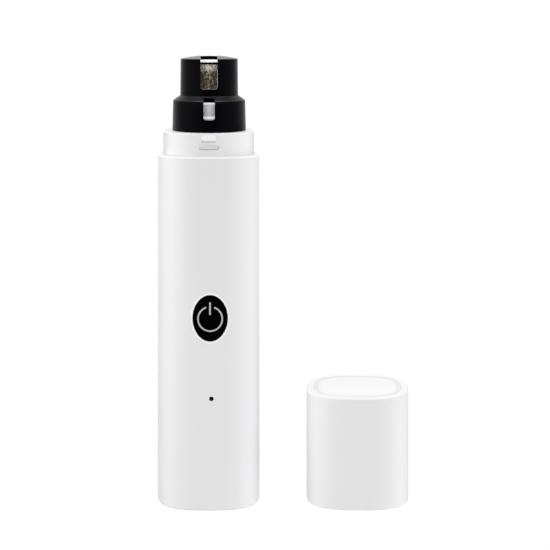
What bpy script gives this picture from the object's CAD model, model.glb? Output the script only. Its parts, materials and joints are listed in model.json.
import json
import math

import bmesh
import bpy
import numpy as np
from mathutils import Matrix, Vector


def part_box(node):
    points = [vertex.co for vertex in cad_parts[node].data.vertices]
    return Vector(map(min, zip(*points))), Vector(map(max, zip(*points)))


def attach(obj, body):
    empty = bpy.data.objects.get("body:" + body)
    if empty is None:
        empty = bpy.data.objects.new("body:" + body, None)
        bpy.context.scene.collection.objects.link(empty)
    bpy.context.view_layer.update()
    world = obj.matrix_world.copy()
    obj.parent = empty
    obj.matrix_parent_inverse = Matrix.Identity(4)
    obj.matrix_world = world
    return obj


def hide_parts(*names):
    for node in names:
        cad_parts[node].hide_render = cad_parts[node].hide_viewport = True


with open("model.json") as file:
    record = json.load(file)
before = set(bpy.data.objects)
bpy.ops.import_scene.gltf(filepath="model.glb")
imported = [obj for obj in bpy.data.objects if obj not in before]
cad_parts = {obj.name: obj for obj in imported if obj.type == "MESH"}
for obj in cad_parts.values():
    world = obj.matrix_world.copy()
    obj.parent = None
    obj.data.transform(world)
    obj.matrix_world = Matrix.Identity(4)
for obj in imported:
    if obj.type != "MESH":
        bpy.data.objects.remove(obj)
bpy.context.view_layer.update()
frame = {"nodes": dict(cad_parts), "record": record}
NODES = frame["nodes"]
RNG = np.random.default_rng(11)
MM = 0.001

# ---------------------------------------------------------------- dimensions, read from the frame
_lo, _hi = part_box("outer_sleeve")
A, B = (_hi.x - _lo.x) / 2 / MM, (_hi.y - _lo.y) / 2 / MM          # half width and depth of the body
BODY_TOP = _hi.z / MM
_lo, _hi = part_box("nose_collar")
CA = (_hi.x - _lo.x) / 2 / MM
CB = _hi.y / MM
COLLAR_TOP = BODY_TOP + 7.3
RIM = BODY_TOP - 0.05
SPIGOT_TOP = _hi.z / MM - 0.22
_lo, _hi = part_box("guard")
GUARD_BOT = _lo.z / MM
GT = 141.66                           # where the guard's roof starts
CONE_LO, CONE_HI = 128.25, 129.85      # the guard's lower cylinder ends, its cone ends
_lo, _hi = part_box("cap_shell")
CAPX = (_lo.x + _hi.x) / 2 / MM
CAP_TOP = _hi.z / MM + 0.27
_lo, _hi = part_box("button_cap")
BZ = (_lo.z + _hi.z) / 2 / MM - 0.09
BA, BB, BX = 5.47, 7.25, 0.48          # key half sizes and its place across the front
_lo, _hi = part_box("indicator_light_pipe")
LEDZ = (_lo.z + _hi.z) / 2 / MM
_lo, _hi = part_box("charge_socket_shell")
USBZ = (_lo.z + _hi.z) / 2 / MM
_lo, _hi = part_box("abrasive_sleeve")
DRUM_R = _hi.x / MM
DRUM_Z0, DRUM_Z1 = _lo.z / MM, _hi.z / MM - 0.14
_lo, _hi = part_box("drum_cap")
DISC_TOP = _hi.z / MM + 0.25
N_OVAL = 2.9
CAP_YAW = math.radians(-1.0)          # the cap stands turned a little towards the camera
CAP_SKEW = 0.092                      # and is drawn along the line of sight, as the photo has it
LEDX = 0.88                           # the dot sits right of the middle
GX = 0.18                             # the guard sits a touch to the right on the neck


# ---------------------------------------------------------------- mesh helpers (millimetres in)
def oval(a, b, count=192, n=N_OVAL):
    """Points of a flat oval at even arc length, starting at +X."""
    t = np.linspace(0, 2 * math.pi, 4001)
    c, s = np.cos(t), np.sin(t)
    r = (np.abs(c / a) ** n + np.abs(s / b) ** n) ** (-1.0 / n)
    p = np.stack([r * c, r * s], 1)
    d = np.concatenate([[0], np.cumsum(np.hypot(*np.diff(p, axis=0).T))])
    u = np.linspace(0, d[-1], count + 1)[:-1]
    return np.stack([np.interp(u, d, p[:, 0]), np.interp(u, d, p[:, 1])], 1)


def circle(r, like):
    """Circle points at the same angles as another ring, so that a loft runs straight."""
    ang = np.arctan2(like[:, 1], like[:, 0])
    return np.stack([r * np.cos(ang), r * np.sin(ang)], 1)


def ring3(p2, z, cx=0.0, cy=0.0):
    return np.column_stack([p2[:, 0] + cx, p2[:, 1] + cy, np.full(len(p2), z)])


def turn3(points, yaw, cx, dx=0.0):
    """Turn points about the upright line at (cx, 0)."""
    q = np.array(points, float)
    c, s = math.cos(yaw), math.sin(yaw)
    x, y = q[:, 0] - cx, q[:, 1].copy()
    q[:, 0], q[:, 1] = cx + dx + x * c - y * s, x * s + y * c
    return q


def finish_mesh(name, bm, mat, smooth=True, sharp=32.0):
    bmesh.ops.remove_doubles(bm, verts=bm.verts, dist=1e-7)
    bmesh.ops.recalc_face_normals(bm, faces=bm.faces)
    me = bpy.data.meshes.new(name)
    bm.to_mesh(me)
    bm.free()
    if mat is not None:
        me.materials.append(mat)
    if smooth:
        me.shade_smooth()
        me.set_sharp_from_angle(angle=math.radians(sharp))
    ob = bpy.data.objects.new(name, me)
    bpy.context.scene.collection.objects.link(ob)
    return ob


def loft(name, rings, mat, pole0=None, pole1=None, loop=False, sharp=32.0):
    """Quads between rings of equal count, closed by poles or back to the first ring."""
    bm = bmesh.new()
    rows = [[bm.verts.new(Vector(p) * MM) for p in r] for r in rings]
    k = len(rows[0])
    pairs = list(zip(rows, rows[1:])) + ([(rows[-1], rows[0])] if loop else [])
    for a, b in pairs:
        for i in range(k):
            j = (i + 1) % k
            bm.faces.new((a[i], a[j], b[j], b[i]))
    if pole0 is not None:
        v0 = bm.verts.new(Vector(pole0) * MM)
        for i in range(k):
            bm.faces.new((v0, rows[0][(i + 1) % k], rows[0][i]))
    if pole1 is not None:
        v1 = bm.verts.new(Vector(pole1) * MM)
        for i in range(k):
            bm.faces.new((v1, rows[-1][i], rows[-1][(i + 1) % k]))
    return finish_mesh(name, bm, mat, sharp=sharp)


def turned(name, profile, mat, segs=128, pole0=None, pole1=None, loop=False, cx=0.0, cy=0.0,
           sharp=32.0):
    t = np.linspace(0, 2 * math.pi, segs + 1)[:-1]
    rings = [np.column_stack([cx + r * np.cos(t), cy + r * np.sin(t), np.full(segs, z)])
             for r, z in profile]
    return loft(name, rings, mat, pole0, pole1, loop, sharp)


def fillet(p0, corner, p1, r, steps=5):
    """Profile points that round a corner between two neighbours."""
    p0, c, p1 = (np.array(p, float) for p in (p0, corner, p1))
    d0, d1 = (p0 - c), (p1 - c)
    d0, d1 = d0 / np.linalg.norm(d0), d1 / np.linalg.norm(d1)
    half = math.acos(max(-1, min(1, float(d0 @ d1)))) / 2
    t = r / math.tan(half)
    a, b = c + d0 * t, c + d1 * t
    mid = c + (d0 + d1) / np.linalg.norm(d0 + d1) * (r / math.sin(half))
    a0, a1 = math.atan2(*(a - mid)[::-1]), math.atan2(*(b - mid)[::-1])
    da = (a1 - a0 + math.pi) % (2 * math.pi) - math.pi
    return [tuple(mid + r * np.array([math.cos(a0 + da * i / steps), math.sin(a0 + da * i / steps)]))
            for i in range(steps + 1)]


def rounded(profile, radii, steps=5, loop=False):
    """A profile whose corners are filleted: radii gives one radius a point (0 keeps it)."""
    out, m = [], len(profile)
    for i, (p, r) in enumerate(zip(profile, radii)):
        if r <= 0 or (not loop and i in (0, m - 1)):
            out.append(tuple(p))
        else:
            out += fillet(profile[i - 1], p, profile[(i + 1) % m], r, steps)
    return out


def bake(ob):
    """Apply an object's modifiers to its mesh."""
    deps = bpy.context.evaluated_depsgraph_get()
    me = bpy.data.meshes.new_from_object(ob.evaluated_get(deps), preserve_all_data_layers=True,
                                         depsgraph=deps)
    old = ob.data
    ob.modifiers.clear()
    ob.data = me
    bpy.data.meshes.remove(old)


def boolean(ob, tool, op="DIFFERENCE", sharp=32.0):
    mod = ob.modifiers.new("b", "BOOLEAN")
    mod.operation = op
    mod.solver = "EXACT"
    mod.object = tool
    bpy.context.view_layer.update()
    bake(ob)
    bpy.data.objects.remove(tool, do_unlink=True)
    ob.data.shade_smooth()
    ob.data.set_sharp_from_angle(angle=math.radians(sharp))


def ellipse_loft_y(name, rings, mat, segs=96, cx=0.0, cz=0.0, capped=True, sharp=32.0):
    """Ellipse rings (half x, half z, y) stacked along Y, with poles at both ends."""
    t = np.linspace(0, 2 * math.pi, segs + 1)[:-1]
    rr = [np.column_stack([cx + a * np.cos(t), np.full(segs, y), cz + b * np.sin(t)])
          for a, b, y in rings]
    p0 = (cx, rings[0][2], cz) if capped else None
    p1 = (cx, rings[-1][2], cz) if capped else None
    return loft(name, rr, mat, p0, p1, sharp=sharp)


def outline_solid(name, pts, lo, hi, mat, axis="Y", bevel=0.0, bevel_segs=3, sharp=32.0):
    """A flat outline given thickness; its rims may be rounded. Points are (x, z) or (x, y)."""
    bm = bmesh.new()
    if axis == "Y":
        vs = [bm.verts.new(Vector((x, lo, z)) * MM) for x, z in pts]
        step = Vector((0, hi - lo, 0)) * MM
    else:
        vs = [bm.verts.new(Vector((x, y, lo)) * MM) for x, y in pts]
        step = Vector((0, 0, hi - lo)) * MM
    face = bm.faces.new(vs)
    got = bmesh.ops.extrude_face_region(bm, geom=[face])
    top = [g for g in got["geom"] if isinstance(g, bmesh.types.BMVert)]
    bmesh.ops.translate(bm, verts=top, vec=step)
    bmesh.ops.recalc_face_normals(bm, faces=bm.faces)
    if bevel:
        caps = [f for f in bm.faces if len(f.verts) == len(pts)]
        edges = list({e for f in caps for e in f.edges})
        bmesh.ops.bevel(bm, geom=edges, offset=bevel * MM, segments=bevel_segs, profile=0.5,
                        affect="EDGES", clamp_overlap=True)
    big = [f for f in bm.faces if len(f.verts) > 4]
    bmesh.ops.triangulate(bm, faces=big)
    return finish_mesh(name, bm, mat, sharp=sharp)


def pill(hw, hh, cx, cz, steps=16):
    pts = []
    for i in range(steps + 1):
        t = -math.pi / 2 + math.pi * i / steps
        pts.append((cx + hw - hh + hh * math.cos(t), cz + hh * math.sin(t)))
    for i in range(steps + 1):
        t = math.pi / 2 + math.pi * i / steps
        pts.append((cx - hw + hh + hh * math.cos(t), cz + hh * math.sin(t)))
    return pts


def rounded_rect(hw, hh, r, cx, cz, steps=6):
    pts = []
    for qx, qz, t0 in ((1, -1, -90), (1, 1, 0), (-1, 1, 90), (-1, -1, 180)):
        for i in range(steps + 1):
            t = math.radians(t0 + 90 * i / steps)
            pts.append((cx + qx * (hw - r) + r * math.cos(t), cz + qz * (hh - r) + r * math.sin(t)))
    return pts


def put(ob, body, slot, *nodes):
    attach(ob, body)
    if nodes:
        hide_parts(*nodes)
    return ob


# ---------------------------------------------------------------- materials
class Net:
    """A small helper for node materials whose textures run in millimetres."""

    def __init__(self, name):
        old = bpy.data.materials.get(name)
        if old:
            bpy.data.materials.remove(old)
        self.mat = bpy.data.materials.new(name)
        self.mat.use_nodes = True
        self.nt = self.mat.node_tree
        self.bsdf = self.nt.nodes["Principled BSDF"]
        self.coord = self.nt.nodes.new("ShaderNodeTexCoord")
        self.mm = self.nt.nodes.new("ShaderNodeVectorMath")
        self.mm.operation = "SCALE"
        self.mm.inputs["Scale"].default_value = 1000.0
        self.link(self.coord.outputs["Object"], self.mm.inputs[0])
        self.normal = None

    def link(self, a, b):
        self.nt.links.new(a, b)

    def mapping(self, scale=(1, 1, 1), rot=(0, 0, 0)):
        m = self.nt.nodes.new("ShaderNodeMapping")
        m.inputs["Scale"].default_value = scale
        m.inputs["Rotation"].default_value = rot
        self.link(self.mm.outputs["Vector"], m.inputs["Vector"])
        return m.outputs["Vector"]

    def noise(self, scale, detail=4.0, rough=0.55, vec=None, dist=0.0):
        n = self.nt.nodes.new("ShaderNodeTexNoise")
        n.inputs["Scale"].default_value = scale
        n.inputs["Detail"].default_value = detail
        n.inputs["Roughness"].default_value = rough
        n.inputs["Distortion"].default_value = dist
        self.link(vec or self.mm.outputs["Vector"], n.inputs["Vector"])
        return n.outputs["Fac"]

    def voronoi(self, scale, feature="F1", vec=None, out="Distance", rand=1.0):
        n = self.nt.nodes.new("ShaderNodeTexVoronoi")
        n.feature = feature
        n.inputs["Scale"].default_value = scale
        n.inputs["Randomness"].default_value = rand
        self.link(vec or self.mm.outputs["Vector"], n.inputs["Vector"])
        return n.outputs[out]

    def wave(self, scale, vec=None, direction="X", kind="BANDS", dist=0.0, detail=0.0):
        n = self.nt.nodes.new("ShaderNodeTexWave")
        n.wave_type = kind
        if kind == "BANDS":
            n.bands_direction = direction
        else:
            n.rings_direction = direction
        n.inputs["Scale"].default_value = scale
        n.inputs["Distortion"].default_value = dist
        n.inputs["Detail"].default_value = detail
        self.link(vec or self.mm.outputs["Vector"], n.inputs["Vector"])
        return n.outputs["Fac"]

    def ramp(self, src, stops, interp="LINEAR"):
        n = self.nt.nodes.new("ShaderNodeValToRGB")
        n.color_ramp.interpolation = interp
        el = n.color_ramp.elements
        while len(el) < len(stops):
            el.new(0.5)
        for e, (pos, col) in zip(el, stops):
            e.position = pos
            e.color = (*col, 1.0) if len(col) == 3 else col
        self.link(src, n.inputs["Fac"])
        return n.outputs["Color"]

    def span(self, src, lo, hi, from_lo=0.0, from_hi=1.0):
        n = self.nt.nodes.new("ShaderNodeMapRange")
        n.inputs["From Min"].default_value = from_lo
        n.inputs["From Max"].default_value = from_hi
        n.inputs["To Min"].default_value = lo
        n.inputs["To Max"].default_value = hi
        self.link(src, n.inputs["Value"])
        return n.outputs["Result"]

    def mix(self, fac, a, b, mode="MIX"):
        n = self.nt.nodes.new("ShaderNodeMix")
        n.data_type = "RGBA"
        n.blend_type = mode
        for sock, val in ((n.inputs[0], fac), (n.inputs[6], a), (n.inputs[7], b)):
            if isinstance(val, (int, float)):
                sock.default_value = val
            elif isinstance(val, tuple):
                sock.default_value = (*val, 1.0) if len(val) == 3 else val
            else:
                self.link(val, sock)
        return n.outputs[2]

    def math(self, op, a, b=0.0):
        n = self.nt.nodes.new("ShaderNodeMath")
        n.operation = op
        for sock, val in ((n.inputs[0], a), (n.inputs[1], b)):
            if isinstance(val, (int, float)):
                sock.default_value = val
            else:
                self.link(val, sock)
        return n.outputs[0]

    def z(self):
        n = self.nt.nodes.new("ShaderNodeSeparateXYZ")
        self.link(self.mm.outputs["Vector"], n.inputs[0])
        return n.outputs["Z"]

    def by_height(self, stops):
        """A grey value that follows the height in millimetres: stops are (z, value)."""
        z0, z1 = stops[0][0], stops[-1][0]
        fac = self.span(self.z(), 0.0, 1.0, z0, z1)
        return self.ramp(fac, [((z - z0) / (z1 - z0), (v, v, v)) for z, v in stops])

    def facing(self):
        """0 where the surface faces the viewer, 1 where it turns away."""
        n = self.nt.nodes.new("ShaderNodeLayerWeight")
        n.inputs["Blend"].default_value = 0.5
        return n.outputs["Facing"]

    def up(self):
        """1 on faces that look upwards."""
        g = self.nt.nodes.new("ShaderNodeNewGeometry")
        n = self.nt.nodes.new("ShaderNodeSeparateXYZ")
        self.link(g.outputs["True Normal"], n.inputs[0])
        return self.span(n.outputs["Z"], 0.0, 1.0, 0.3, 0.7)

    def axis(self, name):
        n = self.nt.nodes.new("ShaderNodeSeparateXYZ")
        self.link(self.mm.outputs["Vector"], n.inputs[0])
        return n.outputs[name]

    def edge(self, radius=0.25, samples=4):
        """0 on flat ground, rising on convex edges, from the bevel node's bent normal."""
        bev = self.nt.nodes.new("ShaderNodeBevel")
        bev.samples = samples
        bev.inputs["Radius"].default_value = radius * MM
        geo = self.nt.nodes.new("ShaderNodeNewGeometry")
        dot = self.nt.nodes.new("ShaderNodeVectorMath")
        dot.operation = "DOT_PRODUCT"
        self.link(bev.outputs["Normal"], dot.inputs[0])
        self.link(geo.outputs["Normal"], dot.inputs[1])
        return self.span(dot.outputs["Value"], 1.0, 0.0, 0.86, 0.999)

    def bump(self, height, strength, dist):
        n = self.nt.nodes.new("ShaderNodeBump")
        n.inputs["Strength"].default_value = strength
        n.inputs["Distance"].default_value = dist * MM
        self.link(height, n.inputs["Height"])
        if self.normal is not None:
            self.link(self.normal, n.inputs["Normal"])
        self.normal = n.outputs["Normal"]
        return self.normal

    def soft_edges(self, radius=0.12, samples=4):
        n = self.nt.nodes.new("ShaderNodeBevel")
        n.samples = samples
        n.inputs["Radius"].default_value = radius * MM
        self.normal = n.outputs["Normal"]

    def out(self, color=None, rough=None, metal=None, **more):
        b = self.bsdf.inputs
        for key, val in (("Base Color", color), ("Roughness", rough), ("Metallic", metal)):
            if val is None:
                continue
            if isinstance(val, (int, float)):
                b[key].default_value = val
            elif isinstance(val, tuple):
                b[key].default_value = (*val, 1.0)
            else:
                self.link(val, b[key])
        for key, val in more.items():
            key = key.replace("_", " ")
            if key in b:
                if isinstance(val, (int, float)):
                    b[key].default_value = val
                elif isinstance(val, tuple):
                    b[key].default_value = val
                else:
                    self.link(val, b[key])
        if self.normal is not None:
            self.link(self.normal, b["Normal"])
        return self.mat


def shell_plastic(name, tone, rough, lift=None, dim_edge=0.0, flank=0.0, mid=0.0):
    """Moulded satin white plastic: faint orange peel, fine spark texture, handling smudges.

    lift: glow by height, for the translucent thin rims that catch the studio light;
    dim_edge: darker where it turns away; flank: darker high on the right-hand flank;
    mid: darker where it faces the viewer.
    """
    m = Net(name)
    cloud = m.noise(0.035, 3.0)
    fine = m.noise(9.0, 2.0)
    peel = m.noise(1.6, 2.0)
    smudge = m.noise(0.16, 6.0, 0.6, dist=0.6)
    base = m.mix(m.span(cloud, 0.0, 1.0, 0.35, 0.65), tuple(c * 0.992 for c in tone), tone)
    base = m.mix(m.span(fine, 0.0, 0.10, 0.3, 0.75), base, tuple(c * 0.93 for c in tone))
    dark = m.span(m.facing(), mid, 0.0, 0.0, 0.035)
    if dim_edge:
        dark = m.math("ADD", dark, m.span(m.facing(), 0.0, dim_edge, 0.35, 0.7))
    if flank:
        side = m.math("MULTIPLY", m.span(m.axis("X"), 0.0, flank, 4.0, 12.0),
                      m.span(m.axis("Z"), 0.0, 1.0, 35.0, 105.0))
        dark = m.math("ADD", dark, side)
    base = m.mix(dark, base, (0.0, 0.0, 0.0))
    m.bump(peel, 0.10, 0.02)
    m.bump(fine, 0.10, 0.006)
    r = m.math("ADD", m.span(smudge, rough - 0.035, rough + 0.05, 0.3, 0.7),
               m.span(fine, -0.02, 0.03, 0.3, 0.7))
    more = {}
    if lift:
        more = {"Emission_Color": (1.0, 1.0, 1.0, 1.0), "Emission_Strength": m.by_height(lift)}
    return m.out(base, r, 0.0, Specular_IOR_Level=0.3, Coat_Weight=0.0, **more)


def black_satin(name, tone, rough, texture=0.35, edge_gain=0.10, shine=0.12, haze=0.0,
                scuff=None, roof=0.0):
    """Moulded black ABS with a fine spark-eroded texture and rubbed edges."""
    m = Net(name)
    m.soft_edges(0.14)
    grain = m.noise(6.5, 3.0, 0.6)
    cloud = m.noise(0.12, 4.0)
    edge = m.edge(0.22)
    c = m.mix(m.span(cloud, 0.0, 1.0, 0.35, 0.65), tone, tuple(x * 1.35 + 0.001 for x in tone))
    c = m.mix(m.math("MULTIPLY", edge, edge_gain), c, (0.22, 0.22, 0.25))
    if haze:
        c = m.mix(m.math("MULTIPLY", m.math("POWER", m.facing(), 4.0), haze), c, (1.0, 0.96, 0.93))
    if scuff:
        x, y = m.math("SUBTRACT", m.axis("X"), GX), m.axis("Y")
        rad = m.math("SQRT", m.math("ADD", m.math("MULTIPLY", x, x), m.math("MULTIPLY", y, y)))
        # only on the outer skin of the cone, not inside its slot
        lim = m.span(m.axis("Z"), 11.72 - 0.45, 9.40 - 0.45, CONE_LO, CONE_HI)
        skin = m.math("GREATER_THAN", rad, lim)
        skin = m.math("MULTIPLY", skin, m.span(m.math("ABSOLUTE", x), 1.0, 0.35, 3.6, 6.0))
        c = m.mix(m.math("MULTIPLY", m.by_height(scuff), skin), c, (1.0, 1.0, 1.0))
        top = m.math("MULTIPLY", m.by_height([(GT - 0.05, 0.0), (GT + 0.25, roof)]), m.up())
        c = m.mix(top, c, (1.0, 0.97, 0.94))
    m.bump(grain, texture, 0.012)
    r = m.math("ADD", m.span(cloud, rough - 0.03, rough + 0.05, 0.3, 0.7),
               m.span(grain, -0.04, 0.05, 0.3, 0.7))
    return m.out(c, r, 0.0, Specular_IOR_Level=shine)


def metal(name, tone, rough, stretch=(1, 1, 1), grain=3.0, spots=0.0, edge_gain=0.3):
    """Worked metal: directional grain, mottled tarnish and brighter edges."""
    m = Net(name)
    v = m.mapping(stretch)
    g = m.noise(grain, 5.0, 0.65, v)
    cloud = m.noise(0.5, 5.0)
    edge = m.edge(0.15)
    c = m.mix(m.span(cloud, 0.0, 1.0, 0.35, 0.7), tuple(x * 0.82 for x in tone), tone)
    c = m.mix(m.math("MULTIPLY", edge, edge_gain), c, tuple(min(1.0, x * 1.3) for x in tone))
    if spots:
        s = m.voronoi(1.3)
        c = m.mix(m.span(s, spots, 0.0, 0.0, 0.35), c, tuple(x * 0.5 for x in tone))
    m.bump(g, 0.25, 0.01)
    return m.out(c, m.span(g, rough - 0.08, rough + 0.14, 0.25, 0.75), 1.0)


def dull(name, tone, rough, grain=4.0, bump=0.3, contrast=0.25, sheen=0.0):
    """Plain engineering surface: mottled tone, fine grain."""
    m = Net(name)
    g = m.noise(grain, 5.0, 0.6)
    cloud = m.noise(0.6, 4.0)
    c = m.mix(m.span(cloud, 0.0, 1.0, 0.3, 0.7), tuple(x * (1 - contrast) for x in tone), tone)
    edge = m.edge(0.15)
    c = m.mix(m.math("MULTIPLY", edge, 0.25), c, tuple(min(1.0, x * 1.5 + 0.03) for x in tone))
    m.bump(g, bump, 0.02)
    return m.out(c, m.span(g, rough - 0.08, min(1.0, rough + 0.1), 0.25, 0.75), 0.0,
                 Sheen_Weight=sheen)


def board_mat(name):
    """Solder-masked board: traces under the mask and bare pads."""
    m = Net(name)
    v = m.mapping((1, 1, 1))
    tr = m.wave(0.55, v, "Z", dist=2.2, detail=1.0)
    tr2 = m.wave(0.5, v, "X", dist=1.4, detail=1.0)
    lines = m.math("MAXIMUM", m.span(tr, 0, 1, 0.72, 0.78), m.span(tr2, 0, 1, 0.8, 0.86))
    c = m.mix(lines, (0.012, 0.10, 0.045), (0.03, 0.20, 0.09))
    pads = m.voronoi(0.32, rand=0.35)
    pad = m.span(pads, 1.0, 0.0, 0.16, 0.20)
    c = m.mix(pad, c, (0.62, 0.60, 0.55))
    m.bump(m.math("ADD", lines, pad), 0.4, 0.03)
    return m.out(c, m.span(pad, 0.35, 0.25), m.span(pad, 0.0, 0.9))


def wrap_mat(name, tone, band):
    """Shrink-wrapped cell: film with a contrasting end band and faint shrink ripples."""
    m = Net(name)
    ripple = m.noise(0.7, 3.0, 0.5, m.mapping((1, 1, 0.25)))
    zz = m.z()
    b = m.math("MULTIPLY", m.math("GREATER_THAN", zz, 57.0), m.math("LESS_THAN", zz, 63.8))
    c = m.mix(b, tone, band)
    c = m.mix(m.span(ripple, 0.0, 0.25, 0.3, 0.7), c, (0.4, 0.5, 0.6))
    m.bump(ripple, 0.25, 0.05)
    return m.out(c, m.span(ripple, 0.25, 0.4, 0.3, 0.7), 0.0, Coat_Weight=0.3)


def winding_mat(name):
    """Enamelled copper wire laid in turns."""
    m = Net(name)
    w = m.wave(2.6, m.mapping((1, 1, 1)), "Z", dist=0.4, detail=1.0)
    w2 = m.wave(2.2, m.mapping((1, 1, 1)), "X", dist=0.6, detail=1.0)
    h = m.math("MAXIMUM", w, w2)
    c = m.mix(h, (0.20, 0.055, 0.02), (0.70, 0.28, 0.11))
    m.bump(h, 0.8, 0.08)
    return m.out(c, 0.32, 0.85)


def wire_mat(name, tone):
    m = Net(name)
    g = m.noise(2.2, 3.0)
    m.bump(g, 0.2, 0.02)
    c = m.mix(m.span(g, 0, 1, 0.35, 0.65), tuple(x * 0.8 for x in tone), tone)
    return m.out(c, m.span(g, 0.32, 0.5, 0.3, 0.7), 0.0)


def grit_mat(name):
    """Bonded grit: crystals of mixed tone, bright at the drum's upper end, dull and olive below."""
    m = Net(name)
    cell = m.voronoi(2.4, out="Color")
    sep = m.nt.nodes.new("ShaderNodeSeparateColor")
    m.link(cell, sep.inputs[0])
    crys = sep.outputs[0]
    tone = m.ramp(crys, [(0.0, (0.045, 0.038, 0.020)), (0.35, (0.17, 0.145, 0.085)),
                         (0.7, (0.37, 0.325, 0.19)), (0.9, (0.66, 0.60, 0.42)),
                         (1.0, (0.95, 0.92, 0.80))])
    bright = m.ramp(crys, [(0.0, (0.16, 0.12, 0.08)), (0.3, (0.55, 0.47, 0.36)),
                           (0.6, (0.92, 0.86, 0.74)), (1.0, (1.0, 0.99, 0.95))])
    wob = m.noise(1.1, 3.0)
    zz = m.math("ADD", m.z(), m.span(wob, -0.7, 0.7, 0.3, 0.7))
    top = m.span(zz, 0.0, 1.0, DRUM_Z1 - 2.55, DRUM_Z1 - 1.55)
    c = m.mix(top, tone, bright)
    shade = m.span(m.facing(), 0.0, 0.72, 0.02, 0.17)
    shade = m.math("MAXIMUM", shade, m.span(m.z(), 1.0, 0.0, 131.0, 131.8))
    c = m.mix(shade, c, (0.0, 0.0, 0.0))
    dist = m.voronoi(2.4)
    m.bump(dist, 0.7, 0.10)
    m.bump(m.noise(9.0, 3.0), 0.4, 0.03)
    return m.out(c, m.span(crys, 0.75, 0.35), m.span(crys, 0.0, 0.3, 0.6, 1.0),
                 Emission_Color=c, Emission_Strength=m.span(top, 0.12, 0.30),
                 Specular_IOR_Level=m.span(m.z(), 0.0, 0.5, 131.0, 131.8))


def icon_mat(name):
    m = Net(name)
    g = m.noise(7.0, 2.0)
    cloud = m.noise(0.4, 3.0)
    c = m.mix(m.span(cloud, 0, 1, 0.35, 0.65), (0.44, 0.45, 0.45), (0.52, 0.53, 0.53))
    m.bump(g, 0.12, 0.008)
    return m.out(c, m.span(g, 0.34, 0.46, 0.3, 0.7), 0.0, Subsurface_Weight=0.0)


def felt_mat(name, tone):
    m = Net(name)
    f = m.noise(2.8, 8.0, 0.75, dist=1.4)
    c = m.mix(m.span(f, 0, 1, 0.3, 0.7), tuple(x * 0.6 for x in tone), tuple(min(1, x * 1.2) for x in tone))
    m.bump(f, 0.8, 0.12)
    return m.out(c, 0.95, 0.0, Sheen_Weight=0.4)


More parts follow.
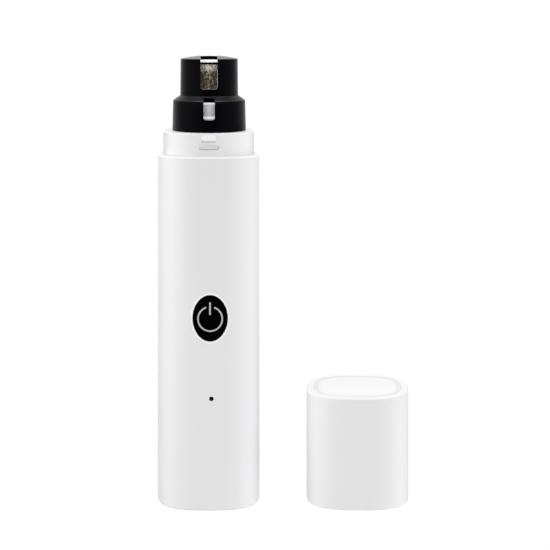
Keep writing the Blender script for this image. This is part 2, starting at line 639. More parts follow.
M = {
    "white_shell": shell_plastic("white_shell_v", (0.80, 0.80, 0.81), 0.34, flank=0.03, dim_edge=0.03, mid=0.05,
                                 lift=[(RIM - 0.6, 0.0), (RIM - 0.4, 0.10), (RIM + 0.1, 0.10)]),
    "bezel": shell_plastic("bezel_v", (0.81, 0.81, 0.82), 0.30,
                           lift=[(BZ - 9.0, 0.10), (BZ + 9.0, 0.10)]),
    "channel": shell_plastic("channel_v", (0.75, 0.75, 0.76), 0.40),
    "white_cap": shell_plastic("white_cap_v", (0.80, 0.80, 0.81), 0.34, mid=0.05,
                               lift=[(CAP_TOP - 0.35, 0.0), (CAP_TOP - 0.12, 0.022),
                                     (CAP_TOP + 1.0, 0.022)]),
    "pad": shell_plastic("pad_v", (0.82, 0.82, 0.825), 0.38, lift=[(100.0, 0.05), (130.0, 0.05)]),
    "rib": shell_plastic("rib_v", (0.68, 0.68, 0.685), 0.38),
    "white_neck": shell_plastic("white_neck_v", (0.812, 0.812, 0.817), 0.38, dim_edge=0.15, mid=0.03,
                                lift=[(RIM - 0.5, 0.06), (RIM + 0.1, 0.05), (RIM + 0.8, 0.0),
                                      (COLLAR_TOP - 0.4, 0.0), (COLLAR_TOP - 0.1, 0.17),
                                      (COLLAR_TOP + 0.3, 0.16), (COLLAR_TOP + 0.5, 0.0),
                                      (122.7, 0.0), (122.9, 0.34), (123.5, 0.36),
                                      (123.75, 0.02), (SPIGOT_TOP - 0.62, 0.02),
                                      (SPIGOT_TOP - 0.36, 0.30), (SPIGOT_TOP, 0.42)]),
    "black_guard": black_satin("black_guard_v", (0.0009, 0.0009, 0.0020), 0.34, 0.22, 0.03, 0.014,
                               haze=0.26, roof=0.12,
                               scuff=[(CONE_LO + 0.02, 0.0), (CONE_LO + 0.12, 0.055),
                                      (CONE_LO + 0.36, 0.055), (CONE_LO + 0.52, 0.016),
                                      (CONE_HI - 0.3, 0.016), (CONE_HI - 0.12, 0.035),
                                      (CONE_HI - 0.02, 0.035), (CONE_HI + 0.06, 0.0)]),
    "black_button": black_satin("black_button_v", (0.0003, 0.0003, 0.0004), 0.22, 0.12, 0.01, 0.012),
    "icon_grey": icon_mat("icon_grey_v"),
    "dark_lens": black_satin("dark_lens_v", (0.002, 0.002, 0.0025), 0.15, 0.05, 0.0, 0.1),
    "frame_grey": dull("frame_grey_v", (0.30, 0.31, 0.32), 0.5),
    "zinc_steel": metal("zinc_steel_v", (0.62, 0.62, 0.61), 0.30, (1, 1, 6), 2.0, 0.15),
    "bright_steel": metal("bright_steel_v", (0.86, 0.86, 0.85), 0.20, (1, 1, 10), 3.0),
    "copper": metal("copper_v", (0.78, 0.36, 0.19), 0.30, (1, 1, 4), 2.5),
    "sintered_bronze": metal("sintered_bronze_v", (0.52, 0.35, 0.17), 0.48, (1, 1, 1), 6.0, 0.3),
    "ferrite": dull("ferrite_v", (0.055, 0.055, 0.06), 0.65, 5.0, 0.5),
    "carbon": dull("carbon_v", (0.03, 0.03, 0.032), 0.45, 6.0, 0.35),
    "black_rubber": dull("black_rubber_v", (0.022, 0.022, 0.023), 0.75, 5.0, 0.4),
    "dark_nylon": dull("dark_nylon_v", (0.035, 0.035, 0.038), 0.45, 4.0, 0.25),
    "diamond_grit": grit_mat("diamond_grit_v"),
    "green_board": board_mat("green_board_v"),
    "black_epoxy": dull("black_epoxy_v", (0.018, 0.018, 0.02), 0.5, 6.0, 0.3),
    "cell_wrap": wrap_mat("cell_wrap_v", (0.02, 0.11, 0.33), (0.75, 0.75, 0.74)),
    "nickel_strip": metal("nickel_strip_v", (0.64, 0.61, 0.54), 0.26, (6, 1, 1), 2.0),
    "grey_foam": felt_mat("grey_foam_v", (0.22, 0.22, 0.23)),
    "grey_felt": felt_mat("grey_felt_v", (0.34, 0.34, 0.33)),
    "red_insulation": wire_mat("red_insulation_v", (0.48, 0.015, 0.015)),
    "black_insulation": wire_mat("black_insulation_v", (0.018, 0.018, 0.018)),
    "edge_bright": metal("edge_bright_v", (0.46, 0.455, 0.43), 0.42, (1, 1, 3), 5.0),
    "disc_bright": metal("disc_bright_v", (0.93, 0.93, 0.92), 0.5, (1, 1, 3), 5.0),
    "led_epoxy": dull("led_epoxy_v", (0.62, 0.58, 0.42), 0.25, 3.0, 0.1),
}
WINDING = winding_mat("winding_v")

slot_of = {s["node"]: s["material_slot"] for s in frame["record"]["subparts"]}
for name, ob in NODES.items():
    mat = WINDING if name == "armature_winding" else M[slot_of[name]]
    ob.data.materials.clear()
    ob.data.materials.append(mat)


# ---------------------------------------------------------------- body shell
def shell_ring(d, z, count=224, cx=0.0):
    return ring3(oval(A - d, B - d, count), z, cx)


z0 = 0.12
WAIST = 0.05                          # the sleeve is drawn a hair slimmer than its tube
prof = rounded([(1.35, z0), (WAIST, z0), (WAIST, RIM), (1.5, RIM)],
               [0, 0.6, 0.5, 0], 6)
prof = [(1.5, z0 + 0.15)] + prof + [(1.66, RIM - 0.12), (1.66, RIM - 1.5), (1.5, RIM - 1.7)]
body = loft("body_shell", [shell_ring(d, z) for d, z in prof], M["white_shell"], loop=True)
boolean(body, ellipse_loft_y("c", [(BA + 0.08, BB + 0.08, -14.9), (BA + 0.08, BB + 0.08, -10.5)],
                             None, 128, BX, BZ))
boolean(body, ellipse_loft_y("c", [(1.02, 1.02, -14.2), (0.73, 0.73, -13.85), (0.73, 0.73, -10.5)],
                             None, 48, LEDX, LEDZ))
usb = outline_solid("c", pill(4.75, 1.9, 0, USBZ), 10.0, 16.0, None)
boolean(body, usb)
usb = outline_solid("c", pill(5.05, 2.2, 0, USBZ), 13.72, 16.0, None)
boolean(body, usb)
put(body, "housing", "white_shell", "outer_sleeve")

# ---------------------------------------------------------------- collar and spigot
K = 192
o_big = oval(CA, CB, K)


def oring(d, z, a=CA, b=CB):
    return ring3(oval(a - d, b - d, K), z)


rings = [oring(0, 105.0), oring(0, 108.0), oring(0, 111.0)]
for d, z in rounded([(0.0, 112.0), (0.0, COLLAR_TOP), (2.0, COLLAR_TOP)], [0, 0.5, 0], 5)[1:-1]:
    rings.append(oring(d, z))
rings.append(ring3(circle(10.75, o_big), COLLAR_TOP))
for r, z in rounded([(10.75, COLLAR_TOP), (10.56, COLLAR_TOP), (10.56, 122.95),
                     (10.26, 123.95), (10.26, SPIGOT_TOP), (8.9, SPIGOT_TOP), (8.9, 126.2),
                     (8.0, 126.2), (8.0, 111.5), (4.0, 111.5), (4.0, 110.0)],
                    [0, 0.05, 0.1, 0.1, 0.85, 0.25, 0, 0.1, 0, 0.2, 0], 4)[1:]:
    rings.append(ring3(circle(r, o_big), z))
rings.append(oring(0, 110.0, 13.4, 10.95))
rings.append(oring(0, 105.0, 13.4, 10.95))
collar = loft("collar_shell", rings, M["white_neck"], loop=True)
put(collar, "housing", "white_neck", "nose_collar")
boolean(collar, outline_solid("c", rounded_rect(2.25, 0.34, 0.12, 0.12, 115.93), -14.0, -11.85,
                              None))
boolean(collar, outline_solid("c", pill(3.04, 0.60, 0.12, 113.86), -14.0, -11.85, None))
pad = outline_solid("collar_pad", rounded_rect(2.3, 0.87, 0.12, 0.12, 117.05), -12.66, -11.6,
                    M["pad"], bevel=0.12)
for v in pad.data.vertices:            # its face leans back a little
    if v.co.y / MM < -12.3:
        v.co.y += 0.13 * (v.co.z - 0.11705) + 0.00008
put(pad, "housing", "white_neck")
rib = outline_solid("collar_snap_rib", pill(2.88, 0.49, 0.02, 114.00), -12.85, -11.6,
                    M["rib"], bevel=0.16, bevel_segs=3)
for v in rib.data.vertices:            # a snap wedge: its face looks a little downwards
    if v.co.y / MM < -12.3:
        v.co.y -= 0.30 * (v.co.z - 0.11400)
put(rib, "housing", "white_neck")

# ---------------------------------------------------------------- guard
zs, zc = CONE_LO, CONE_HI
DOME = 1.10
crown = [(0.35, GT + DOME)]
for i in range(1, 13):
    r = 9.0 * i / 12
    crown.append((r, GT + DOME * (1 - (r / 9.3) ** 2)))
outer = rounded([(8.6, GT + DOME * (1 - (8.6 / 9.3) ** 2)), (9.29, GT), (9.40, zc), (11.72, zs),
                 (11.96, GUARD_BOT - 0.21),
                 (10.65, GUARD_BOT - 0.21)], [0, 0.35, 0.35, 0.35, 0.12, 0], 5)
crown = [p for p in crown if p[0] < 8.55]
inner = [(10.65, GUARD_BOT - 0.21), (10.65, 127.7), (8.25, 129.6), (8.2, 141.4), (0.35, 141.5)]
prof = crown + outer[:-1] + inner
guard = turned("guard_cover", prof, M["black_guard"], 160, pole0=(GX, 0, GT + DOME),
               pole1=(GX, 0, 141.5), cx=GX)


def u_slot(w, zlo, zhi, r, steps=10, cx=0.0):
    h = w / 2
    pts = [(h, zhi), (-h, zhi)]
    pts += [(-h + r + r * math.cos(math.radians(a)), zlo + r + r * math.sin(math.radians(a)))
            for a in np.linspace(180, 270, steps + 1)]
    pts += [(h - r + r * math.cos(math.radians(a)), zlo + r + r * math.sin(math.radians(a)))
            for a in np.linspace(270, 360, steps + 1)]
    return [(x + cx, z) for x, z in pts]


boolean(guard, outline_solid("c", u_slot(5.46, 132.23, 146.0, 0.85, cx=0.13), -14.0, 5.4, None))
boolean(guard, outline_solid("c", u_slot(3.56, 122.50, zc - 0.42, 0.78, cx=0.16), -14.0, -5.0, None))


def ease_slot_edges(ob, width, x_lim, y_max, z_lo, z_hi):
    """Round the outer rims of the slots."""
    bm = bmesh.new()
    bm.from_mesh(ob.data)
    bmesh.ops.remove_doubles(bm, verts=bm.verts, dist=2e-6)
    pick = []
    for e in bm.edges:
        if len(e.link_faces) != 2:
            continue
        m = (e.verts[0].co + e.verts[1].co) / 2 / MM
        if abs(m.x) > x_lim or m.y > y_max or not z_lo < m.z < z_hi:
            continue
        n0, n1 = (f.normal for f in e.link_faces)
        ang = n0.angle(n1, 0.0)
        rad = math.hypot(m.x, m.y)
        if ang > math.radians(50) and rad > 9.0 and e.is_convex:
            pick.append(e)
    if pick:
        bmesh.ops.bevel(bm, geom=pick, offset=width * MM, segments=2, profile=0.5,
                        affect="EDGES", clamp_overlap=True, loop_slide=True)
    bm.to_mesh(ob.data)
    bm.free()
    ob.data.shade_smooth()
    ob.data.set_sharp_from_angle(angle=math.radians(32))


ease_slot_edges(guard, 0.12, 3.2, -5.0, 122.0, 143.0)
put(guard, "head_guard", "black_guard", "guard")

# the bright worn edge along the nail slot's right side and foot
SX, SR = 0.11, 9.34


def slot_edge_point(x, z):
    return Vector((x, -math.sqrt((SR + 0.02) ** 2 - (x - GX) ** 2), z))


path_ = [(SX + 2.68, z) for z in np.linspace(138.9, 133.13, 30)]
path_ += [(SX + 2.68 - 0.86 + 0.86 * math.cos(math.radians(a)),
           133.09 + 0.86 * math.sin(math.radians(a))) for a in np.linspace(0, -90, 14)]
path_ += [(x, 132.23) for x in np.linspace(SX + 1.8, SX - 1.9, 30)]
path_ += [(SX - 1.9 + 0.86 * math.cos(math.radians(a)),
           133.09 + 0.86 * math.sin(math.radians(a))) for a in np.linspace(-94, -140, 8)]
pts_ = [slot_edge_point(x, z) for x, z in path_]
rings = []
for i, q in enumerate(pts_):
    tan = (pts_[min(i + 1, len(pts_) - 1)] - pts_[max(i - 1, 0)]).normalized()
    out_ = Vector((q.x - GX, q.y, 0)).normalized()
    side = tan.cross(out_).normalized()
    w_ = 0.065 * min(1.0, 0.25 + 0.09 * min(i, len(pts_) - 1 - i))
    rings.append([q + side * (w_ * math.cos(a)) + out_ * (0.08 * math.sin(a))
                  for a in np.linspace(0, 2 * math.pi, 11)[:-1]])
trim = loft("slot_edge_trim", rings, M["edge_bright"], pole0=pts_[0], pole1=pts_[-1], sharp=60)
put(trim, "head_guard", "zinc_steel")

# ---------------------------------------------------------------- grinding drum
seg, rows = 260, 150
t = np.linspace(0, 2 * math.pi, seg + 1)[:-1]
zz = np.linspace(DRUM_Z0 + 0.15, DRUM_Z1 - 0.05, rows)
h = np.zeros((rows, seg))
gx = t * (DRUM_R - 0.1)
count = 5200
px, pz = RNG.uniform(0, 2 * math.pi * (DRUM_R - 0.1), count), RNG.uniform(zz[0], zz[-1], count)
ps, ph = RNG.uniform(0.09, 0.17, count), RNG.uniform(0.04, 0.13, count)
full = 2 * math.pi * (DRUM_R - 0.1)
dz = zz[1] - zz[0]
dx = gx[1] - gx[0]
for cx_, cz_, s_, h_ in zip(px, pz, ps, ph):
    i0, i1 = max(0, int((cz_ - s_ - zz[0]) / dz)), min(rows, int((cz_ + s_ - zz[0]) / dz) + 2)
    j0, j1 = int((cx_ - s_) / dx) - 1, int((cx_ + s_) / dx) + 2
    js = np.arange(j0, j1) % seg
    ddx = np.abs(gx[js] - cx_)
    ddx = np.minimum(ddx, full - ddx)
    dd = np.maximum(ddx[None, :], np.abs(zz[i0:i1] - cz_)[:, None] * 0.8 + ddx[None, :] * 0.4)
    bump_ = h_ * np.clip(1.25 - dd / s_, 0, 1)
    block = h[i0:i1][:, js]
    h[i0:i1][:, js] = np.maximum(block, bump_)
    hh = h[i0:i1]
    hh[:, js] = np.maximum(hh[:, js], bump_)
rad = DRUM_R - 0.16 + h
rings = [np.column_stack([4.4 * np.cos(t), 4.4 * np.sin(t), np.full(seg, DRUM_Z0)]),
         np.column_stack([4.75 * np.cos(t), 4.75 * np.sin(t), np.full(seg, DRUM_Z0)])]
rings += [np.column_stack([rad[i] * np.cos(t), rad[i] * np.sin(t), np.full(seg, zz[i])])
          for i in range(rows)]
rings += [np.column_stack([4.75 * np.cos(t), 4.75 * np.sin(t), np.full(seg, DRUM_Z1)]),
          np.column_stack([4.4 * np.cos(t), 4.4 * np.sin(t), np.full(seg, DRUM_Z1)])]
drum = loft("grit_drum", rings, M["diamond_grit"], loop=True, sharp=50)
put(drum, "spindle", "diamond_grit", "abrasive_sleeve")
disc = turned("drum_top_disc",
              [(0.4, DISC_TOP - 0.35), (1.5, DISC_TOP - 0.35), (1.62, DISC_TOP - 0.02)]
              + [(1.7, DISC_TOP)]
              + rounded([(4.0, DISC_TOP), (DRUM_R, DISC_TOP), (DRUM_R, DISC_TOP - 0.56),
                         (4.0, DISC_TOP - 0.56)], [0, 0.10, 0.1, 0], 4)[1:]
              + [(1.5, DISC_TOP - 0.56), (1.5, 138.9), (0.4, 138.9)],
              M["disc_bright"], 128, pole0=(0, 0, DISC_TOP - 0.35), pole1=(0, 0, 138.9))
_bsdf = M["disc_bright"].node_tree.nodes["Principled BSDF"].inputs
_bsdf["Metallic"].default_value = 0.25
_bsdf["Emission Color"].default_value = (1.0, 0.99, 0.97, 1.0)
_bsdf["Emission Strength"].default_value = 0.6
put(disc, "spindle", "bright_steel", "drum_cap")
# a black washer closes the joint between the drum and its disc
rings = [np.column_stack([r_ * np.cos(t), r_ * np.sin(t), np.full(seg, z_)])
         for r_, z_ in ((4.42, DRUM_Z1 - 0.03), (DRUM_R - 0.09, DRUM_Z1 - 0.03),
                        (DRUM_R - 0.09, DISC_TOP - 0.57), (4.42, DISC_TOP - 0.57))]
washer = loft("drum_washer", rings, M["black_button"], loop=True, sharp=50)
put(washer, "spindle", "black_button")
# and a black dust collar hangs round the drum's foot, below the nail slot
rings = [np.column_stack([r_ * np.cos(t), r_ * np.sin(t), np.full(seg, z_)])
         for r_, z_ in ((DRUM_R + 0.05, 127.6), (DRUM_R + 0.45, 127.6),
                        (DRUM_R + 0.45, 131.3), (DRUM_R + 0.05, 131.3))]
skirt = loft("drum_dust_collar", rings, M["black_button"], loop=True, sharp=50)
put(skirt, "spindle", "black_button")


# ---------------------------------------------------------------- power button and its icon
def dome_y(x, z):
    q = ((x - BX) / BA) ** 2 + ((z - BZ) / BB) ** 2
    return -14.02 - 0.10 * (1 - min(1.0, q))


rings = []
for s in (0.04, 0.2, 0.4, 0.6, 0.8, 0.92):
    rings.append((BA * s, BB * s, -14.02 - 0.10 * (1 - s * s)))
for a in np.linspace(90, 0, 6):
    k = 0.28
    rings.append((BA - k + k * math.cos(math.radians(a)), BB - k + k * math.cos(math.radians(a)),
                  -14.02 + 0.012 + k - k * math.sin(math.radians(a))))
rings += [(BA, BB, -12.05), (BA + 0.55, BB + 0.6, -11.95), (BA + 0.55, BB + 0.6, -11.4)]
key = ellipse_loft_y("key_cap", rings, M["black_button"], 128, BX, BZ)
put(key, "power_button", "black_button", "button_cap")

bead = []
for i in range(0, 15):
    a = math.pi * i / 14
    bead.append((BA + 0.36 + 0.30 * math.cos(a), BB + 0.36 + 0.30 * math.cos(a),
                 -13.97 - 0.13 * math.sin(a)))
t_ = np.linspace(0, 2 * math.pi, 161)[:-1]
rings = []
for a_, b_, y_ in bead + [(BA + 0.06, BB + 0.06, -13.7), (BA + 0.66, BB + 0.66, -13.7)]:
    # the body's front is slightly curved, so the bead follows it
    x_ = BX + a_ * np.cos(t_)
    fall = B - (1 - np.abs(x_ / A) ** N_OVAL) ** (1 / N_OVAL) * B
    rings.append(np.column_stack([x_, y_ + fall, BZ + b_ * np.sin(t_)]))
bezel = loft("button_bezel", rings, M["bezel"], loop=True, sharp=60)
put(bezel, "housing", "white_shell")

icz, ir, iw = BZ - 0.15, 3.81, 0.245


def c_ring(gap_deg, steps=72):
    pts = [((ir + iw) * math.cos(math.radians(a)), icz + (ir + iw) * math.sin(math.radians(a)))
           for a in np.linspace(90 + gap_deg, 450 - gap_deg, steps)]
    end = math.radians(90 - gap_deg)
    c = (ir * math.cos(end), icz + ir * math.sin(end))
    for k in range(1, 8):
        a = end + math.pi * k / 8
        pts.append((c[0] + iw * math.cos(a), c[1] + iw * math.sin(a)))
    pts += [((ir - iw) * math.cos(math.radians(a)), icz + (ir - iw) * math.sin(math.radians(a)))
            for a in np.linspace(450 - gap_deg, 90 + gap_deg, steps)]
    end = math.radians(90 + gap_deg)
    c = (ir * math.cos(end), icz + ir * math.sin(end))
    for k in range(1, 8):
        a = end + math.pi + math.pi * k / 8
        pts.append((c[0] + iw * math.cos(a), c[1] + iw * math.sin(a)))
    return pts


def on_dome(ob, proud=0.03):
    for v in ob.data.vertices:
        if v.co.y / MM < -13.5:
            v.co.y = (dome_y(v.co.x / MM, v.co.z / MM) - proud) * MM
    ob.data.update()
    return ob


icon_ring = on_dome(outline_solid("icon_ring", [(x + BX, z) for x, z in c_ring(22)], -14.1,
                                  -13.2, M["icon_grey"]))
put(icon_ring, "power_button", "icon_grey", "button_light_guide")
bar = rounded_rect(0.25, 1.99, 0.24, BX - 0.04, BZ + 3.08, 8)
icon_bar = on_dome(outline_solid("icon_bar", bar, -14.1, -13.2, M["icon_grey"]))
put(icon_bar, "power_button", "icon_grey")

# indicator: a dark lens set just below the surface
lens = ellipse_loft_y("indicator_lens", [(0.2, 0.2, -13.62), (0.45, 0.45, -13.58),
                                         (0.62, 0.62, -13.45), (0.62, 0.62, -12.6),
                                         (0.36, 0.36, -12.5), (0.36, 0.36, -9.1)],
                      M["dark_lens"], 48, LEDX, LEDZ)
put(lens, "housing", "dark_lens", "indicator_light_pipe")

# ---------------------------------------------------------------- cap
CAP_DX = 0.04


def cring(d, z, a=A, b=B, dy=None):
    """A ring of the cap, drawn in by d at the ends and dy at the front and back."""
    pts = ring3(oval(a - d, b - (d if dy is None else dy), 224), z, CAPX)
    pts[:, 0] += CAP_SKEW * pts[:, 1]
    return turn3(pts, CAP_YAW, CAPX, CAP_DX)


# top: rim, a shallow rounded channel and the inlay, drawn in a little more at the front
RX, RY = 2.46, 2.55                   # the rim's width at the ends and at the front
prof = rounded([(0.0, CAP_TOP - 0.85), (0.0, CAP_TOP), (-1.0, CAP_TOP), (-2.0, CAP_TOP)],
               [0, 0, 0, 0], 6)
rings = [cring(RX + 4.0, CAP_TOP - 0.9, dy=RY + 4.0)]
rings += [cring(RX + t_, z_, dy=RY + t_)
          for t_, z_ in rounded([(2.0, CAP_TOP - 0.9), (0.0, CAP_TOP - 0.9), (0.0, CAP_TOP),
                                 (-0.7, CAP_TOP)], [0, 0, 0.12, 0], 4)]
for d, z in rounded([(0.87, CAP_TOP), (0.06, CAP_TOP), (0.06, 0.13), (1.4, 0.13), (1.4, 32.4)],
                    [0, 0.62, 0.45, 0.3, 0], 8)[1:]:
    rings.append(cring(d, z, dy=d + 0.24))
rings.append(cring((A - 1.4) * 0.7, 32.4, dy=(B - 1.4) * 0.7 + 0.0))
cx_ = CAPX + CAP_DX
cap = loft("cap_body", rings, M["white_cap"], pole0=(cx_, 0, CAP_TOP - 0.9),
           pole1=(cx_, 0, 32.4))
put(cap, "cap", "white_shell", "cap_shell")
# the channel round the inlay: a tray with a soft, slightly dished lip
rings = [cring(RX + 6.0, CAP_TOP - 0.88, dy=RY + 6.0), cring(RX + 0.04, CAP_TOP - 0.88, dy=RY + 0.04)]
for t_ in np.linspace(0.04, 1.22, 15):
    z_ = CAP_TOP - 0.03 - 0.09 * math.sin(math.pi * (t_ - 0.04) / 1.18)
    rings.append(cring(RX + t_, z_, dy=RY + t_))
rings += [cring(RX + 1.24, CAP_TOP - 0.82, dy=RY + 1.24), cring(RX + 6.0, CAP_TOP - 0.82, dy=RY + 6.0)]
tray = loft("cap_channel", rings, M["channel"], pole0=(cx_, 0, CAP_TOP - 0.88),
            pole1=(cx_, 0, CAP_TOP - 0.82))
put(tray, "cap", "white_shell")
IX, IY = RX + 1.26, RY + 1.26
prof = rounded([(0.0, CAP_TOP - 0.8), (0.0, CAP_TOP - 0.02), (3.0, CAP_TOP - 0.02)],
               [0, 0.04, 0], 3)
rings = [cring(IX + 4.0, CAP_TOP - 0.8, dy=IY + 4.0)]
rings += [cring(IX + d, z, dy=IY + d) for d, z in prof]
rings.append(cring(IX + 6.0, CAP_TOP - 0.02, dy=IY + 6.0))
inlay = loft("cap_inlay", rings, M["white_cap"], pole0=(cx_, 0, CAP_TOP - 0.8),
             pole1=(cx_, 0, CAP_TOP - 0.02))
put(inlay, "cap", "white_shell", "cap_top_panel")

# ---------------------------------------------------------------- underside
prof = rounded([(0.0, 3.6), (0.0, 0.08), (2.5, 0.08)], [0, 0.35, 0], 5)
rings = [ring3(oval(14.85 * 0.3, 12.4 * 0.3, 160), 3.6)]
rings += [ring3(oval(14.85 - d, 12.4 - d, 160), z) for d, z in prof]
rings.append(ring3(oval(14.85 * 0.3, 12.4 * 0.3, 160), 0.08))
base = loft("base_plate", rings, M["white_shell"], pole0=(0, 0, 3.6), pole1=(0, 0, 0.08))
for x in (-10.5, 10.5):
    boolean(base, turned("c", [(2.15, -1.0), (2.15, 1.0), (1.1, 1.02), (1.1, 5.0)], None, 48,
                         pole0=(x, 3.2, -1.0), pole1=(x, 3.2, 5.0), cx=x, cy=3.2))
put(base, "housing", "white_shell", "bottom_cover")
for tag, x in (("left", -10.5), ("right", 10.5)):
    head = turned(f"base_screw_head_{tag}",
                  rounded([(0.3, 0.16), (1.25, 0.16), (1.7, 0.36), (1.7, 0.72), (0.7, 0.75),
                           (0.7, 7.2), (0.3, 7.6)], [0, 0.3, 0.1, 0.05, 0, 0.2, 0], 3),
                  M["zinc_steel"], 48, pole0=(x, 3.2, 0.16), pole1=(x, 3.2, 7.6), cx=x, cy=3.2)
    for w, d in ((0.28, 1.0), (1.0, 0.28)):
        boolean(head, outline_solid("c", [(x - w, 3.2 - d), (x + w, 3.2 - d), (x + w, 3.2 + d),
                                          (x - w, 3.2 + d)], -0.5, 0.5, None, axis="Z"))
    put(head, "housing", "zinc_steel", f"base_screw_{tag}")

# ---------------------------------------------------------------- charging socket
tube_o, tube_i = pill(4.45, 1.6, 0, USBZ), pill(4.12, 1.27, 0, USBZ)
bm_rings = []
for pts, y in ((tube_o, 6.0), (tube_o, 13.25), (pill(4.38, 1.53, 0, USBZ), 13.38),
               (pill(4.2, 1.35, 0, USBZ), 13.38), (tube_i, 13.25), (tube_i, 6.0)):
    bm_rings.append(np.array([(x, y, z) for x, z in pts]))
socket = loft("socket_sleeve", bm_rings, M["zinc_steel"], loop=True)
put(socket, "housing", "zinc_steel", "charge_socket_shell")
core = outline_solid("socket_core", pill(4.1, 1.25, 0, USBZ), 6.2, 8.2, M["dark_nylon"])
boolean(core, outline_solid("c", rounded_rect(3.3, 0.35, 0.12, 0, USBZ), 7.9, 12.9, None,
                            bevel=0.1), "UNION")
put(core, "housing", "dark_nylon", "charge_socket_tongue")

# ---------------------------------------------------------------- floor
# A glowing white table: the camera sees it, and the light tent below it shines through.
bm = bmesh.new()
bmesh.ops.create_grid(bm, x_segments=24, y_segments=24, size=4.0)
me = bpy.data.meshes.new("studio_floor")
bm.to_mesh(me)
bm.free()
floor = bpy.data.objects.new("studio_floor", me)
floor.location.z = -0.00008
bpy.context.scene.collection.objects.link(floor)
fm = Net("floor_white")
soft = fm.noise(0.004, 2.0)
fm.out((0.0, 0.0, 0.0), 1.0, 0.0, Specular_IOR_Level=0.0,
       Emission_Color=fm.mix(soft, (0.995, 0.995, 0.995), (1.0, 1.0, 1.0)), Emission_Strength=1.02)
me.materials.append(fm.mat)
for flag in ("visible_diffuse", "visible_glossy", "visible_shadow", "visible_transmission"):
    setattr(floor, flag, False)

# ---------------------------------------------------------------- world and lights
# The light tent: brightness by direction, as panels round the object. Azimuth runs from the
# back (-180) over the left (-90), the camera side (0) and the right (90).
AZ = list(range(-165, 180, 30))
TENT = {
    40: [2.26, 0.61, 1.63, 1.28, 0.05, 0.05, 0.05, 0.05, 2.15, 2.79, 1.22, 1.63],
    0: [1.48, 0.10, 0.25, 4.88, 4.93, 0.05, 0.05, 2.70, 2.14, 0.05, 0.10, 1.12],
    -40: [0.05, 0.05, 0.05, 0.86, 0.81, 0.05, 0.05, 2.67, 4.55, 2.11, 0.05, 0.05],
}
TENT_TOP = 1.82
TOP_GAIN = 8.0

world = bpy.data.worlds.new("studio")
bpy.context.scene.world = world
world.use_nodes = True
nt = world.node_tree
nt.nodes.clear()


def wnode(kind, **props):
    n = nt.nodes.new(kind)
    for k, v in props.items():
        setattr(n, k, v)
    return n


def wmath(op, a, b=0.0):
    n = wnode("ShaderNodeMath", operation=op)
    for sock, val in ((n.inputs[0], a), (n.inputs[1], b)):
        if isinstance(val, (int, float)):
            sock.default_value = val
        else:
            nt.links.new(val, sock)
    return n.outputs[0]


coord = wnode("ShaderNodeTexCoord")
xyz = wnode("ShaderNodeSeparateXYZ")
nt.links.new(coord.outputs["Generated"], xyz.inputs[0])
az = wmath("ARCTAN2", xyz.outputs["X"], wmath("MULTIPLY", xyz.outputs["Y"], -1.0))
el = wmath("MULTIPLY", wmath("ARCSINE", xyz.outputs["Z"]), 180.0 / math.pi)
turn = wmath("ADD", wmath("MULTIPLY", az, 0.5 / math.pi), 0.5)


def hat(centre, below, above):
    up = wnode("ShaderNodeMapRange")
    nt.links.new(el, up.inputs["Value"])
    up.inputs["From Min"].default_value, up.inputs["From Max"].default_value = centre - below, centre
    down = wnode("ShaderNodeMapRange")
    nt.links.new(el, down.inputs["Value"])
    down.inputs["From Min"].default_value = centre + above
    down.inputs["From Max"].default_value = centre
    return wmath("MINIMUM", up.outputs["Result"], down.outputs["Result"])


total = wmath("MULTIPLY", hat(90, 50, 1), TENT_TOP)
for centre, below, above in ((40, 40, 50), (0, 40, 40), (-40, 50, 40)):
    vals = TENT[centre]
    ends = (vals[0] + vals[-1]) / 2
    stops = [(0.0, ends)] + [((a_ + 180) / 360, v_) for a_, v_ in zip(AZ, vals)] + [(1.0, ends)]
    ramp = wnode("ShaderNodeValToRGB")
    el_ = ramp.color_ramp.elements
    while len(el_) < len(stops):
        el_.new(0.5)
    for e_, (pos_, v_) in zip(el_, stops):
        e_.position = pos_
        e_.color = (v_ / TOP_GAIN, v_ / TOP_GAIN, v_ / TOP_GAIN, 1.0)
    nt.links.new(turn, ramp.inputs["Fac"])
    band = wmath("MULTIPLY", hat(centre, below, above), wmath("MULTIPLY", ramp.outputs["Color"],
                                                              TOP_GAIN))
    total = wmath("ADD", total, band)
tent = wnode("ShaderNodeBackground")
nt.links.new(total, tent.inputs["Strength"])
seen = wnode("ShaderNodeBackground")
seen.inputs["Color"].default_value = (1, 1, 1, 1)
seen.inputs["Strength"].default_value = 1.02
pick = wnode("ShaderNodeMixShader")
path = wnode("ShaderNodeLightPath")
nt.links.new(path.outputs["Is Camera Ray"], pick.inputs[0])
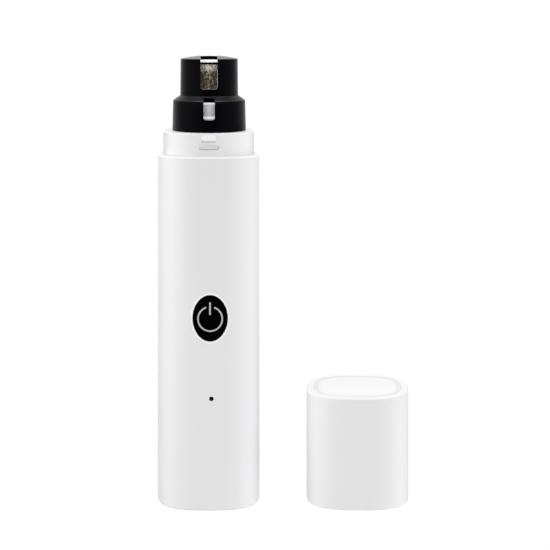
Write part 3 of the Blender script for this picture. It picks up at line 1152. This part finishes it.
nt.links.new(tent.outputs[0], pick.inputs[1])
nt.links.new(seen.outputs[0], pick.inputs[2])
end = wnode("ShaderNodeOutputWorld")
nt.links.new(pick.outputs[0], end.inputs[0])
world.cycles.sampling_method = "MANUAL"
world.cycles.sample_map_resolution = 512


def area(name, loc, target, size, power, size_y=None):
    li = bpy.data.lights.new(name, "AREA")
    li.energy = power
    li.size = size
    if size_y:
        li.shape = "RECTANGLE"
        li.size_y = size_y
    ob = bpy.data.objects.new(name, li)
    ob.location = loc
    ob.rotation_euler = (Vector(target) - Vector(loc)).to_track_quat("-Z", "Y").to_euler()
    bpy.context.scene.collection.objects.link(ob)
    return ob


# a small overhead softbox draws the thin bright lines on the upper rims
area("softbox_top", (0.03, -0.16, 0.62), (0.02, 0, 0.08), 0.30, 0.35, 0.20)

# ---------------------------------------------------------------- camera
DIST, CAM_Z, FPX = 0.403, 0.155, 1240.0
cam_data = bpy.data.cameras.new("camera")
cam = bpy.data.objects.new("camera", cam_data)
bpy.context.scene.collection.objects.link(cam)
CAM_X = 0.0
cam.location = (CAM_X, -DIST, CAM_Z)
cam.rotation_euler = (math.pi / 2, 0, 0)
cam_data.sensor_width = 36.0
cam_data.lens = 36.0 * FPX / 550.0
cam_data.clip_start = 0.01
cam_data.clip_end = 30.0
SHIFT_X = (275.0 - 208.6) / 550.0
SHIFT_Y = -(275.0 - 17.54) / 550.0
for prop, val in (("shift_x", SHIFT_X), ("shift_y", SHIFT_Y)):
    drv = cam_data.driver_add(prop).driver
    drv.type = "SCRIPTED"
    var = drv.variables.new()
    var.name = "y"
    var.targets[0].id = cam
    var.targets[0].data_path = "location[1]"
    var2 = drv.variables.new()
    var2.name = "z"
    var2.targets[0].id = cam
    var2.targets[0].data_path = "location[2]"
    drv.expression = f"{val:.6f} if abs(y + {DIST}) + abs(z - {CAM_Z}) < 0.0005 else 0.0"
bpy.context.scene.camera = cam
bpy.context.scene.view_settings.view_transform = "Standard"
bpy.context.scene.view_settings.look = "None"

bpy.context.view_layer.update()
